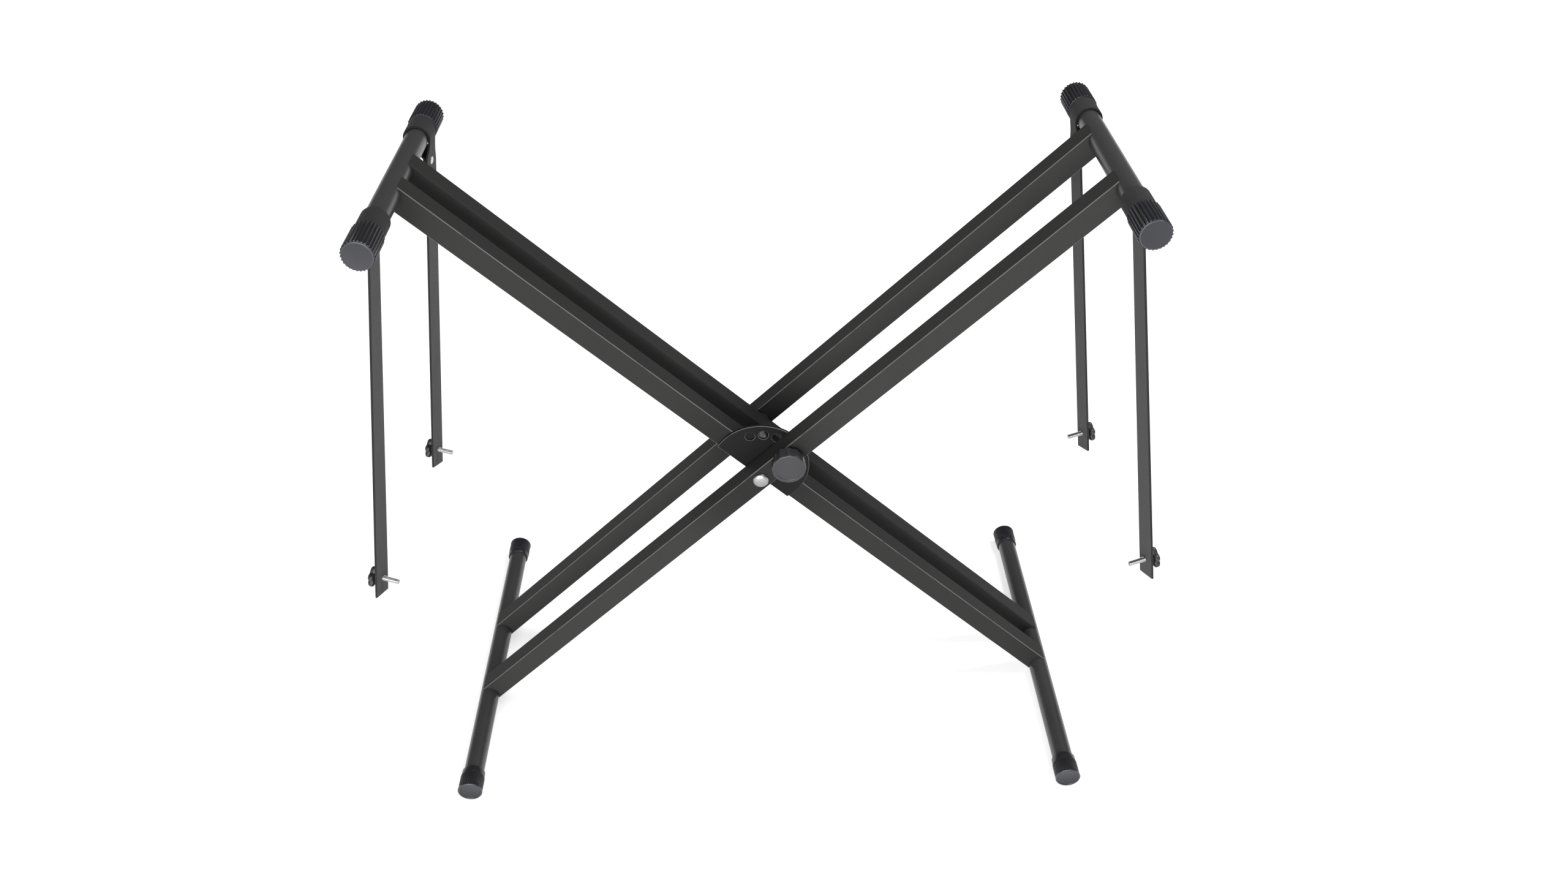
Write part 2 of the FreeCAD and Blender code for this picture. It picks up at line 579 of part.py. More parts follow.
os.makedirs("parts", exist_ok=True)
for name, shape in all_parts().items():
    valid = shape.isValid()
    solids = len(shape.Solids)
    shape.exportStep("parts/" + name + ".step")
    print(name, "solids", solids, "valid", valid, "volume", round(shape.Volume, 1))
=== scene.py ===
"""Folding keyboard stand: the looks of a double-X stand with ribbed caps and hanging straps.

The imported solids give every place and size. Square legs, tubes, plate, washers and sleeves keep their
solids and get their finishes here. Straps, caps, knobs, screws, rivets and the pivot bolt are made
again as finer surfaces in the space of their solids. Lengths in the classes are millimetres.
"""

import json
import logging
import math
from dataclasses import dataclass
from enum import Enum
from typing import Any, Callable, Optional, Sequence, Union

import bpy
import numpy as np
from mathutils import Matrix, Vector


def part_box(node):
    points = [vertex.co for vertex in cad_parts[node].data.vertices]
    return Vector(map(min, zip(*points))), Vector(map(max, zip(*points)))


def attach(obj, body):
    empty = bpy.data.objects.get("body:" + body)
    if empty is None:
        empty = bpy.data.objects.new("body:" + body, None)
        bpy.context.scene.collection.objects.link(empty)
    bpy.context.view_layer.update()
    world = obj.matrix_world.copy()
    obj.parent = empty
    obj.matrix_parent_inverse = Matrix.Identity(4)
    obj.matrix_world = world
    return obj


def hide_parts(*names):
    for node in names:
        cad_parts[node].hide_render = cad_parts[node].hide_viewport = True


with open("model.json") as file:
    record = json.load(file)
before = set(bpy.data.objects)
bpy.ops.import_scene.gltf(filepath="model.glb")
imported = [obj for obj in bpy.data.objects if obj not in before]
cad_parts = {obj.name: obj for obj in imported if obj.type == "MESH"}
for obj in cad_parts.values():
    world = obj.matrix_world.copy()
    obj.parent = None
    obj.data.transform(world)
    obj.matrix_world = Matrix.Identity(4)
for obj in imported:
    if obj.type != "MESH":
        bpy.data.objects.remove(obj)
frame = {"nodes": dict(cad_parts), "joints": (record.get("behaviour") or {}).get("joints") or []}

MM = 0.001
LOG = logging.getLogger("keyboard_stand")

Array = np.ndarray
Relief = Callable[[Array], Array]
Value = Union["Term", float, Sequence[float]]


# ---------------------------------------------------------------- materials


class Term:
    """A number or vector inside a material that adds and multiplies like a Python number."""

    def __init__(self, recipe: "Recipe", socket: bpy.types.NodeSocket) -> None:
        """Keep the socket and the recipe that it belongs to."""
        self.recipe = recipe
        self.socket = socket

    def __add__(self, other: Value) -> "Term":
        """Sum."""
        return self.recipe.maths("ADD", self, other)

    def __radd__(self, other: Value) -> "Term":
        """Sum, with the plain number first."""
        return self.recipe.maths("ADD", other, self)

    def __sub__(self, other: Value) -> "Term":
        """Difference."""
        return self.recipe.maths("SUBTRACT", self, other)

    def __rsub__(self, other: Value) -> "Term":
        """Difference, with the plain number first."""
        return self.recipe.maths("SUBTRACT", other, self)

    def __mul__(self, other: Value) -> "Term":
        """Product."""
        return self.recipe.maths("MULTIPLY", self, other)

    def __rmul__(self, other: Value) -> "Term":
        """Product, with the plain number first."""
        return self.recipe.maths("MULTIPLY", other, self)

    def __truediv__(self, other: Value) -> "Term":
        """Quotient."""
        return self.recipe.maths("DIVIDE", self, other)

    def __abs__(self) -> "Term":
        """Size without its sign."""
        return self.recipe.maths("ABSOLUTE", self)

    def __pow__(self, other: Value) -> "Term":
        """Power."""
        return self.recipe.maths("POWER", self, other)

    def sine(self) -> "Term":
        """Sine of an angle in radians."""
        return self.recipe.maths("SINE", self)

    def ramp(self, low: float, high: float) -> "Term":
        """Smooth step: 0 at low, 1 at high, with a soft start and end."""
        settings = {"interpolation_type": "SMOOTHSTEP"}
        inputs = {"Value": self, "From Min": low, "From Max": high}
        return self.recipe.node("ShaderNodeMapRange", settings, inputs)

    def more_of(self, other: Value) -> "Term":
        """The larger of the two."""
        return self.recipe.maths("MAXIMUM", self, other)

class Recipe:
    """The node tree of one material."""

    def __init__(self, name: str) -> None:
        """Start an empty material under the given name."""
        self.material = bpy.data.materials.new(name)
        self.material.use_nodes = True
        self.tree = self.material.node_tree
        self.tree.nodes.clear()

    def node(self, kind: str, settings: dict[str, Any], inputs: dict[Any, Value],
             output: Union[int, str] = 0) -> Term:
        """Add any node.

        Args:
            kind: the node's type name.
            settings: its properties, set before the inputs.
            inputs: a value or Term for each input socket, by name or number.
            output: the output socket that the caller wants.

        Returns:
            The output socket as a Term.
        """
        made = self.tree.nodes.new(kind)
        for key, value in settings.items():
            setattr(made, key, value)
        for key, value in inputs.items():
            if isinstance(value, Term):
                self.tree.links.new(value.socket, made.inputs[key])
            else:
                made.inputs[key].default_value = value
        return Term(self, made.outputs[output])

    def maths(self, operation: str, *values: Value) -> Term:
        """One arithmetic step on one or two values."""
        return self.node("ShaderNodeMath", {"operation": operation}, dict(enumerate(values)))

    def spot(self) -> Term:
        """The point on the object in metres, in the stand's own frame at rest."""
        return self.node("ShaderNodeTexCoord", {}, {}, "Object")

    def parts(self, point: Term) -> tuple[Term, Term, Term]:
        """The three numbers of a vector."""
        first = self.node("ShaderNodeSeparateXYZ", {}, {0: point})
        sockets = first.socket.node.outputs
        return first, Term(self, sockets[1]), Term(self, sockets[2])

    def vector(self, x: Value, y: Value, z: Value) -> Term:
        """Three numbers as a vector."""
        return self.node("ShaderNodeCombineXYZ", {}, {0: x, 1: y, 2: z})

    def noise(self, point: Term, scale: float, detail: float = 2.0) -> Term:
        """Cloudy noise between 0 and 1, with the given number of cells per metre."""
        inputs = {"Vector": point, "Scale": scale, "Detail": detail, "Roughness": 0.55}
        return self.node("ShaderNodeTexNoise", {}, inputs)

    def blend(self, share: Value, first: Value, second: Value) -> Term:
        """Colour that goes from the first to the second as share goes from 0 to 1."""
        settings = {"data_type": "RGBA"}
        return self.node("ShaderNodeMix", settings, {0: share, 6: first, 7: second}, 2)

    def relief(self, height: Term, depth: float, under: Optional[Term] = None) -> Term:
        """Surface direction bent by a height map.

        Args:
            height: the height between 0 and 1.
            depth: what a height of 1 means, in metres.
            under: a direction that is bent already, if there is one.

        Returns:
            The new direction.
        """
        inputs: dict[Any, Value] = {"Height": height, "Distance": depth, "Strength": 1.0}
        if under is not None:
            inputs["Normal"] = under
        return self.node("ShaderNodeBump", {}, inputs)

    def finish(self, **inputs: Value) -> bpy.types.Material:
        """End the material in one shader.

        Args:
            inputs: a value or Term for each shader socket, with spaces written as underscores.

        Returns:
            The finished material.
        """
        named = {key.replace("_", " "): value for key, value in inputs.items()}
        shader = self.node("ShaderNodeBsdfPrincipled", {}, named)
        end = self.tree.nodes.new("ShaderNodeOutputMaterial")
        self.tree.links.new(shader.socket, end.inputs[0])
        return self.material


def grey(level: float, warmth: float = 0.0) -> tuple[float, float, float, float]:
    """A grey with red raised and blue lowered by the given share of it."""
    return (level * (1 + warmth), level, level * (1 - warmth), 1.0)


class Wear(Enum):
    """Where a coated steel part shows bright edges, partly edge wear and partly painted highlight."""

    INNER_LEG = "inner leg"
    OUTER_LEG = "outer leg"
    PLATE = "plate"


@dataclass(frozen=True)
class PowderCoat:
    """Fine-grained black powder coat on steel, bright along its edges: partly edge wear, partly painted
    highlight.

    Near the pivot the coat is darker: painted shade.
    """

    wear: Wear
    lean: float
    pivot_height: float
    row_offset: float
    coat: float
    half_width: float = 12.5
    corner: float = 1.2
    edge_band: tuple[float, float] = (0.2, 0.8)
    plate_front: float = -43.5
    chamfer_start: tuple[float, float] = (0.03, 0.12)
    chamfer_end: tuple[float, float] = (0.42, 0.55)
    # Colour and share of the bright edges, partly edge wear and partly painted highlight.
    edge_wear_and_highlight: float = 0.32
    edge_wear_and_highlight_strength: float = 0.48
    gap_edge: tuple[float, float] = (18.0, 21.0)
    # Reach in millimetres and darkest level of the painted shade round the pivot.
    pivot_fade: tuple[float, float] = (20.0, 150.0)
    painted_pivot_shade: float = 0.5

    def edge(self, recipe: Recipe) -> Term:
        """Share of bright edge at a point.

        On a leg it is the product of the nearness to a side face and the nearness to a top or lower
        face, both across the leg's own section. Of the two edges at the gap between the inner legs,
        the front one is twice as bright, a painted highlight, and the rear one not bright at all, a
        painted shade. On the plate it is a thin band of depth behind its front face, which only the
        chamfers of rim and holes reach. These bright edges are partly edge wear and partly painted
        highlight.
        """
        x, y, z = recipe.parts(recipe.spot())
        if self.wear is Wear.PLATE:
            behind = y / MM - self.plate_front
            return behind.ramp(*self.chamfer_start) * (1.0 - behind.ramp(*self.chamfer_end))
        slope = 1 if self.wear is Wear.INNER_LEG else -1
        up = (x * (slope * math.sin(self.lean)) + (z - self.pivot_height) * math.cos(self.lean)) / MM
        side = abs(abs(y) / MM - self.row_offset)
        band = tuple(self.half_width - self.corner + part for part in self.edge_band)
        edge = abs(up).ramp(*band) * side.ramp(*band)
        if self.wear is Wear.OUTER_LEG:
            return edge
        # At the gap between the inner legs the front edge gets a painted highlight and the rear edge a
        # painted shade, with no bright edge.
        at_gap = 1.0 - abs(y / MM).ramp(*self.gap_edge)
        rear = (y / MM).ramp(-1.0, 1.0)
        return edge * (1.0 + at_gap * (1.0 - rear * 2.0))

    def material(self) -> bpy.types.Material:
        """The finish as a material."""
        recipe = Recipe("powder_coat_" + self.wear.value.replace(" ", "_"))
        point = recipe.spot()
        cloud = recipe.noise(point, 9.0, 3.0)
        grain = recipe.noise(point, 1400.0, 2.0)
        # Bright edges broken up by noise: partly edge wear, partly painted highlight.
        edge = self.edge(recipe) * recipe.noise(point, 60.0, 3.0).ramp(0.1, 0.5)
        # Painted shade: the coat darkens towards the pivot.
        x, _, z = recipe.parts(point)
        rise = z - self.pivot_height
        out_of_pivot_shade = ((x * x + rise * rise) ** 0.5 / MM).ramp(*self.pivot_fade)
        depth = self.painted_pivot_shade + out_of_pivot_shade * (1.0 - self.painted_pivot_shade)
        tone = depth * (0.85 + cloud * 0.3)
        coat = recipe.blend(tone, grey(0.0), grey(self.coat, 0.02))
        colour = recipe.blend(edge * self.edge_wear_and_highlight_strength, coat, grey(self.edge_wear_and_highlight, 0.01))
        return recipe.finish(
            Base_Color=colour,
            Roughness=0.6 + cloud * 0.08 - edge * 0.25,
            Normal=recipe.relief(grain, 0.00006),
            Specular_IOR_Level=0.14,
        )


@dataclass(frozen=True)
class SatinPaint:
    """Smooth black paint on the round cross tubes, with faint marks along them."""

    coat: float = 0.042

    def material(self) -> bpy.types.Material:
        """The finish as a material."""
        recipe = Recipe("satin_paint")
        x, y, z = recipe.parts(recipe.spot())
        streak = recipe.noise(recipe.vector(x, y * 0.06, z), 260.0, 3.0)
        cloud = recipe.noise(recipe.spot(), 14.0, 2.0)
        return recipe.finish(
            Base_Color=recipe.blend(cloud, grey(self.coat * 0.85), grey(self.coat * 1.15)),
            Roughness=0.25 + streak * 0.14,
            Normal=recipe.relief(streak, 0.00002),
            Specular_IOR_Level=0.6,
        )


@dataclass(frozen=True)
class Moulded:
    """Plastic from a mould: faint cool tint, fine grain and small shine changes."""

    name: str
    tint: tuple[float, float, float, float]
    roughness: float
    grain: float

    def material(self) -> bpy.types.Material:
        """The finish as a material."""
        recipe = Recipe(self.name)
        point = recipe.spot()
        cloud = recipe.noise(point, 40.0, 3.0)
        grain = recipe.noise(point, 1800.0, 2.0)
        dark = tuple(0.82 * part for part in self.tint[:3]) + (1.0,)
        pale = tuple(1.18 * part for part in self.tint[:3]) + (1.0,)
        return recipe.finish(
            Base_Color=recipe.blend(cloud, dark, pale),
            Roughness=self.roughness - 0.05 + cloud * 0.1,
            Normal=recipe.relief(grain, self.grain),
            Specular_IOR_Level=0.45,
        )


@dataclass(frozen=True)
class RibbedRubber:
    """Black rubber of a cap: shiny rib crests, dull grooves darkened by painted shade and a rounded rim
    paled by a painted highlight.

    The cap's own map gives the share of the turn and the row of the profile, so a rib is a cell of
    the first and each band is a run of rows.
    """

    name: str
    ribs: int
    rib_rows: tuple[float, float]
    rim_rows: tuple[float, float]
    tint: tuple[float, float, float] = (0.015, 0.0155, 0.021)
    # Colour level of the painted highlight on the rounded rim.
    painted_rim_highlight: float = 4.2
    # Colour level of the painted shade in the grooves.
    painted_groove_shade: float = 0.12

    def shade(self, level: float) -> tuple[float, float, float, float]:
        """The tint made darker or paler by a factor."""
        red, green, blue = (level * part for part in self.tint)
        return (red, green, blue, 1.0)

    def material(self) -> bpy.types.Material:
        """The finish as a material."""
        recipe = Recipe(self.name)
        turn, row, _ = recipe.parts(recipe.node("ShaderNodeTexCoord", {}, {}, "UV"))
        off_crest = abs(recipe.maths("FRACT", turn * self.ribs + 0.5) - 0.5) * 2.0
        low, high = self.rib_rows
        # The grooves' darker colour is painted shade; their higher roughness is the rubber's own.
        groove = off_crest.ramp(0.3, 0.8) * row.ramp(low - 0.03, low) * (1.0 - row.ramp(high, high + 0.03))
        low, high = self.rim_rows
        rim = row.ramp(low - 0.04, low) * (1.0 - row.ramp(high, high + 0.04))
        point = recipe.spot()
        cloud = recipe.noise(point, 45.0, 3.0)
        grain = recipe.noise(point, 1800.0, 2.0)
        skin = recipe.blend(cloud, self.shade(0.75), self.shade(1.25))
        # Painted highlight: the rounded rim made paler.
        skin = recipe.blend(rim * 0.8, skin, self.shade(self.painted_rim_highlight))
        return recipe.finish(
            Base_Color=recipe.blend(groove * 0.9, skin, self.shade(self.painted_groove_shade)),
            Roughness=0.27 + cloud * 0.1 + groove * 0.4,
            Normal=recipe.relief(grain, 0.00003),
            Specular_IOR_Level=0.45,
        )


@dataclass(frozen=True)
class Metal:
    """Bare or plated metal with turning marks or a light haze."""

    name: str
    tone: tuple[float, float, float, float]
    roughness: float
    marks: float

    def material(self) -> bpy.types.Material:
        """The finish as a material."""
        recipe = Recipe(self.name)
        point = recipe.spot()
        haze = recipe.noise(point, 120.0, 3.0)
        lines = recipe.noise(point, 2600.0, 1.0)
        dark = tuple(0.8 * part for part in self.tone[:3]) + (1.0,)
        return recipe.finish(
            Base_Color=recipe.blend(haze, dark, self.tone),
            Metallic=1.0,
            Roughness=self.roughness + haze * 0.12,
            Normal=recipe.relief(lines, self.marks),
        )


@dataclass(frozen=True)
class Webbing:
    """Flat woven nylon: cords along the strap crossed by a fine weft, with firm dark edges."""

    half_round: float = 32.02
    edge_round: float = 3.4
    cord_pitch: float = 1.45
    weft_pitch: float = 1.1
    loop_end: tuple[float, float] = (92.0, 118.0)
    loop_shade: float = 0.28
    edge_shade: float = 0.12
    shade: float = 0.075

    def material(self) -> bpy.types.Material:
        """The finish as a material.

        The height is the size of a sine across the strap, for the cords, times that of a sine along
        it, whose phase moves by half a pitch from cord to cord as in a plain weave. Halfway round the
        section the same edge and face come again, so the place within half a round tells them apart.
        The webbing is darker as far as its loop ends.
        """
        recipe = Recipe("woven_nylon")
        across, along, _ = recipe.parts(recipe.node("ShaderNodeTexCoord", {}, {}, "UV"))
        cords = across * (math.pi / (self.cord_pitch * MM))
        phase = recipe.maths("FLOOR", cords / math.pi) * (math.pi / 2)
        wefts = along * (math.pi / (self.weft_pitch * MM)) + phase
        weave = abs(cords.sine()) ** 0.6 * (0.55 + abs(wefts.sine()) * 0.45)
        fuzz = recipe.noise(recipe.spot(), 900.0, 2.0)
        cloud = recipe.noise(recipe.spot(), 25.0, 2.0)
        lap = recipe.maths("MODULO", across, self.half_round * MM) / MM
        face = lap.ramp(self.edge_round - 0.6, self.edge_round + 0.1)
        firm = self.edge_shade + face * (1.0 - self.edge_shade)
        # The colour is darker from the returned ply up to the end of the loop.
        darker_to_loop_end = self.loop_shade + (along / MM).ramp(*self.loop_end) * (1.0 - self.loop_shade)
        tone = (0.45 + weave * 0.35 + cloud * 0.2).ramp(0.0, 1.1) * firm * darker_to_loop_end
        return recipe.finish(
            Base_Color=recipe.blend(tone, grey(self.shade * 0.1), grey(self.shade * 1.25)),
            Roughness=0.72 + fuzz * 0.14,
            Normal=recipe.relief(fuzz, 0.00003, recipe.relief(weave, 0.00022)),
            Specular_IOR_Level=0.3,
            Sheen_Weight=0.04,
            Sheen_Roughness=0.4,
        )


# ---------------------------------------------------------------- surfaces


@dataclass
class Seat:
    """A place in the stand's frame: an origin in metres and three unit directions."""

    origin: Array
    along: Array
    side: Array

    def put(self, points: Array) -> Array:
        """Carry points given as (side, up, along) in millimetres to the stand's frame."""
        up = np.cross(self.along, self.side)
        axes = np.stack([self.side, up, self.along])
        return self.origin + points * MM @ axes


def seat_at(origin: Sequence[float], along: Sequence[float], hint: Sequence[float] = (0, 0, 1)) -> Seat:
    """A seat whose side direction is as near to the hint as a right angle to along allows."""
    direction = np.array(along, float) / np.linalg.norm(along)
    near = np.array(hint, float)
    side = near - direction * (near @ direction)
    return Seat(np.array(origin, float), direction, side / np.linalg.norm(side))


@dataclass
class Shell:
    """One closed surface made of closed rings of points.

    Ring i joins ring i + 1 with one quad for each pair of neighbours, and a fan of triangles joins the
    first and last ring to their poles. The rings are points as [ring, place round the ring, xyz] in
    metres. The poles are the two points that close the end rings, or else their middles. step_u is the
    texture place round a ring, with one more entry than the ring has points, and step_v that of each
    ring.
    """

    name: str
    rings: Array
    poles: Optional[Array] = None
    step_u: Optional[Array] = None
    step_v: Optional[Array] = None

    def make(self, material: bpy.types.Material, crease: float = 34.0) -> bpy.types.Object:
        """Make the object, with faces turned outwards by the sign of the volume that they hold.

        Args:
            material: its finish.
            crease: the angle in degrees above which an edge stays sharp.

        Returns:
            The new object, at the origin.
        """
        rows, turns = self.rings.shape[:2]
        poles = self.rings[[0, -1]].mean(1) if self.poles is None else self.poles
        points = np.concatenate([self.rings.reshape(-1, 3), poles])
        here = np.arange(rows * turns).reshape(rows, turns)
        beside = np.roll(here, -1, 1)
        quads = np.stack([here[:-1], beside[:-1], beside[1:], here[1:]], -1).reshape(-1, 4)
        opening = np.stack([beside[0], here[0], np.full(turns, rows * turns)], -1)
        closing = np.stack([here[-1], beside[-1], np.full(turns, rows * turns + 1)], -1)
        u = np.linspace(0, 1, turns + 1) if self.step_u is None else self.step_u
        v = np.linspace(0, 1, rows) if self.step_v is None else self.step_v
        left, low = np.meshgrid(u[:-1], v[:-1])
        right, high = np.meshgrid(u[1:], v[1:])
        spread = np.stack([np.stack([left, low], -1), np.stack([right, low], -1),
                           np.stack([right, high], -1), np.stack([left, high], -1)], 2)
        middle_u = np.full(turns, (u[0] + u[-1]) / 2)
        fans = []
        for tip, edge in ((v[0], (u[1:], u[:-1])), (v[-1], (u[:-1], u[1:]))):
            level = np.full(turns, tip)
            fans.append(np.stack([np.stack([across, level], -1) for across in (*edge, middle_u)], 1))
        corners = np.concatenate([opening, closing, quads[:, :3], quads[:, [0, 2, 3]]])
        a, b, c = (points[corners[:, i]] for i in range(3))
        if np.einsum("ij,ij->i", a, np.cross(b, c)).sum() < 0:
            quads, opening, closing = quads[:, ::-1], opening[:, ::-1], closing[:, ::-1]
            spread, fans = spread[:, :, ::-1], [fan[:, ::-1] for fan in fans]
        mesh = bpy.data.meshes.new(self.name)
        mesh.from_pydata(points.tolist(), [], quads.tolist() + opening.tolist() + closing.tolist())
        places = np.concatenate([spread.reshape(-1, 2), *(fan.reshape(-1, 2) for fan in fans)])
        mesh.uv_layers.new(name="place").data.foreach_set("uv", places.astype(np.float32).ravel())
        mesh.shade_smooth()
        mesh.set_sharp_from_angle(angle=math.radians(crease))
        mesh.materials.append(material)
        mesh.validate()
        made = bpy.data.objects.new(self.name, mesh)
        bpy.context.scene.collection.objects.link(made)
        return made


def turned(name: str, seat: Seat, profile: Sequence[tuple[float, ...]], sides: int,
           relief: Optional[Relief] = None) -> Shell:
    """Turn a profile round the seat's axis.

    The radius at a place along the axis and an angle round it is the profile's radius less the
    profile's share of the relief at that angle.

    Args:
        name: name of the object.
        seat: the axis and its start.
        profile: (along, radius, share of the relief) in millimetres; the first and last lie on the axis.
        sides: points round the axis.
        relief: depth of the carving at each angle, in millimetres.

    Returns:
        The closed surface.
    """
    rows = np.array([tuple(row) + (0.0,) * (3 - len(row)) for row in profile])
    angle = np.arange(sides) * (2 * math.pi / sides)
    carved = np.zeros(sides) if relief is None else relief(angle)
    inner = rows[1:-1]
    radius = inner[:, 1, None] - inner[:, 2, None] * carved[None, :]
    points = np.stack([radius * np.cos(angle), radius * np.sin(angle),
                       np.broadcast_to(inner[:, 0, None], radius.shape)], -1)
    poles = np.array([[0, 0, rows[0, 0]], [0, 0, rows[-1, 0]]])
    return Shell(name, seat.put(points), seat.put(poles))


def ribs(count: int, depth: float, crest: float, rise: float) -> Relief:
    """Relief of rounded ribs: 0 on the crests and depth in the grooves.

    Args:
        count: ribs round the part.
        depth: groove depth in millimetres.
        crest: share of a pitch that the crest takes.
        rise: share of a pitch that each flank takes.

    Returns:
        The depth as a function of the angle.
    """
    def carve(angle: Array) -> Array:
        """Smooth step of the distance from the nearest crest's middle, in shares of a pitch."""
        share = np.abs((angle * count / (2 * math.pi) + 0.5) % 1.0 - 0.5)
        step = np.clip((share - crest / 2) / rise, 0, 1)
        return depth * step * step * (3 - 2 * step)

    return carve


def own(made: bpy.types.Object, node: str, body: str) -> None:
    """Let a piece stand for a solid and ride on its body."""
    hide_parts(node)
    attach(made, body)
    LOG.info("%s stands for %s on %s", made.name, node, body)


def middle(node: str) -> Vector:
    """Centre of a solid's box."""
    low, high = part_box(node)
    return (low + high) / 2


def end_seat(node: str, outward: int = -1) -> tuple[Seat, float]:
    """The middle of a solid's end with the direction inwards, and the solid's length.

    Args:
        node: the solid.
        outward: -1 for its front end, 1 for its rear end.

    Returns:
        The seat and the length in millimetres.
    """
    low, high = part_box(node)
    start = middle(node)
    start.y = low.y if outward < 0 else high.y
    return seat_at(start, (0, -outward, 0)), (high.y - low.y) / MM


def travelled(points: Array) -> Array:
    """Distance along a line from its first point to each of its points."""
    return np.concatenate([[0], np.cumsum(np.linalg.norm(np.diff(points, axis=0), axis=1))])


# ---------------------------------------------------------------- sub-assemblies


@dataclass
class Finishes:
    """One material for each finish of the stand."""

    lean: float
    pivot_height: float
    inner_offset: float = 27.5
    outer_offset: float = 57.0
    # The inner legs' coat is darker than the outer legs' as painted shade, for the inner legs that stand
    # between the outer ones.
    inner_coat_painted_darker: float = 0.028
    outer_shade: float = 0.036
    plate_shade: float = 0.014

    def __post_init__(self) -> None:
        """Make the materials."""
        coats = {wear: PowderCoat(wear, self.lean, self.pivot_height, offset, coat).material()
                 for wear, offset, coat in ((Wear.INNER_LEG, self.inner_offset, self.inner_coat_painted_darker),
                                            (Wear.OUTER_LEG, self.outer_offset, self.outer_shade),
                                            (Wear.PLATE, 0.0, self.plate_shade))}
        self.inner_coat = coats[Wear.INNER_LEG]
        self.outer_coat = coats[Wear.OUTER_LEG]
        self.plate_coat = coats[Wear.PLATE]
        self.paint = SatinPaint().material()
        self.arm_rubber = RibbedRubber("arm_cap_rubber", 28, (0.5, 0.75), (0.14, 0.28)).material()
        self.foot_rubber = RibbedRubber("foot_cap_rubber", 40, (0.476, 0.62), (0.19, 0.28)).material()
        self.plastic = Moulded("knob_plastic", (0.03, 0.03, 0.033, 1.0), 0.42, 0.00003).material()
        self.nylon = Moulded("black_nylon", (0.03, 0.03, 0.032, 1.0), 0.4, 0.00002).material()
        self.zinc = Metal("bright_zinc", grey(0.62), 0.26, 0.000004).material()
        self.dull_zinc = Metal("dull_zinc", grey(0.36), 0.34, 0.000006).material()
        self.steel = Metal("turned_steel", grey(0.5), 0.32, 0.000008).material()
        self.webbing = Webbing().material()


@dataclass
class SteelFrame:
    """The welded frames, the plate and the pivot's small parts, which keep their solids."""

    finishes: Finishes

    def dress(self) -> None:
        """Give every kept solid its finish."""
        worn = {
            "inner_leg": self.finishes.inner_coat,
            "outer_leg": self.finishes.outer_coat,
            "locking_plate": self.finishes.plate_coat,
            "arm_tube": self.finishes.paint,
            "foot_tube": self.finishes.paint,
            "gap_washer": self.finishes.nylon,
            "pivot_nut": self.finishes.zinc,
            "nut_washer": self.finishes.zinc,
        }
        for node, solid in frame["nodes"].items():
            chosen = [material for key, material in worn.items() if key in node]
            solid.data.materials.clear()
            solid.data.materials.append(chosen[0] if chosen else self.finishes.steel)
            LOG.info("%s wears %s", node, solid.data.materials[0].name)


@dataclass
class Cap:
    """Shared by the caps: which tube end it covers, where its solid lies, and its bore."""

    hand: str
    place: str
    kind: str
    bore: float = 12.05
    end_wall: float = 4.0

    def body(self) -> str:
        """The body that carries the cap."""
        inner = (self.hand == "left") == (self.kind == "arm")
        return "inner_frame" if inner else "outer_frame"

    def seat(self) -> tuple[Seat, float]:
        """The middle of the cap's outer end with the direction inwards, and the cap's length."""
        return end_seat(self.node(), -1 if self.place == "front" else 1)

    def node(self) -> str:
        """Name of its solid."""
        return f"{self.kind}_cap_{self.hand}_{self.place}"

    def cover(self, material: bpy.types.Material, outside: Sequence[tuple[float, ...]],
              style: str, sides: int, relief: Relief) -> None:
        """Close the outside profile with the bore, and make the cap in place of its solid.

        Args:
            material: its finish.
            outside: profile from the middle of the outer end to the edge of the inner end.
            style: last word of the piece's name.
            sides: points round the cap.
            relief: the carving of its ribs.
        """
        seat, length = self.seat()
        inside = [(length, self.bore + 0.3), (length - 0.3, self.bore), (self.end_wall, self.bore),
                  (self.end_wall, 0.0)]
        shell = turned(f"{self.node()}_{style}", seat, [*outside, *inside], sides, relief)
        own(shell.make(material), self.node(), self.body())


@dataclass
class ArmCap(Cap):
    """Long ribbed cap on an arm tube: end disc with a rounded edge, then ribs to the strap."""

    kind: str = "arm"
    crest: float = 16.0
    rib_count: int = 28
    rib_depth: float = 1.0
    disc: float = 14.9
    disc_depth: float = 1.2

    def build(self, material: bpy.types.Material) -> None:
        """Make the cap in place of its solid."""
        length = self.seat()[1]
        crest, disc, deep = self.crest, self.disc, self.disc_depth
        outside = [(0.15, 0.0), (0.1, disc - 2.4), (0.0, disc - 1.5), (0.02, disc - 0.9),
                   (0.15, disc - 0.45), (0.4, disc - 0.15), (0.75, disc), (deep, disc),
                   (deep + 0.02, disc + 0.1), (deep + 0.1, crest - 0.3, 0.7), (deep + 0.35, crest, 1.0),
                   (length - 1.2, crest, 1.0), (length - 0.5, crest - 0.3, 0.8),
                   (length - 0.1, crest - 0.9, 0.3), (length, crest - 1.4)]
        self.cover(material, outside, "ribbed", self.rib_count * 12,
                   ribs(self.rib_count, self.rib_depth, 0.22, 0.26))


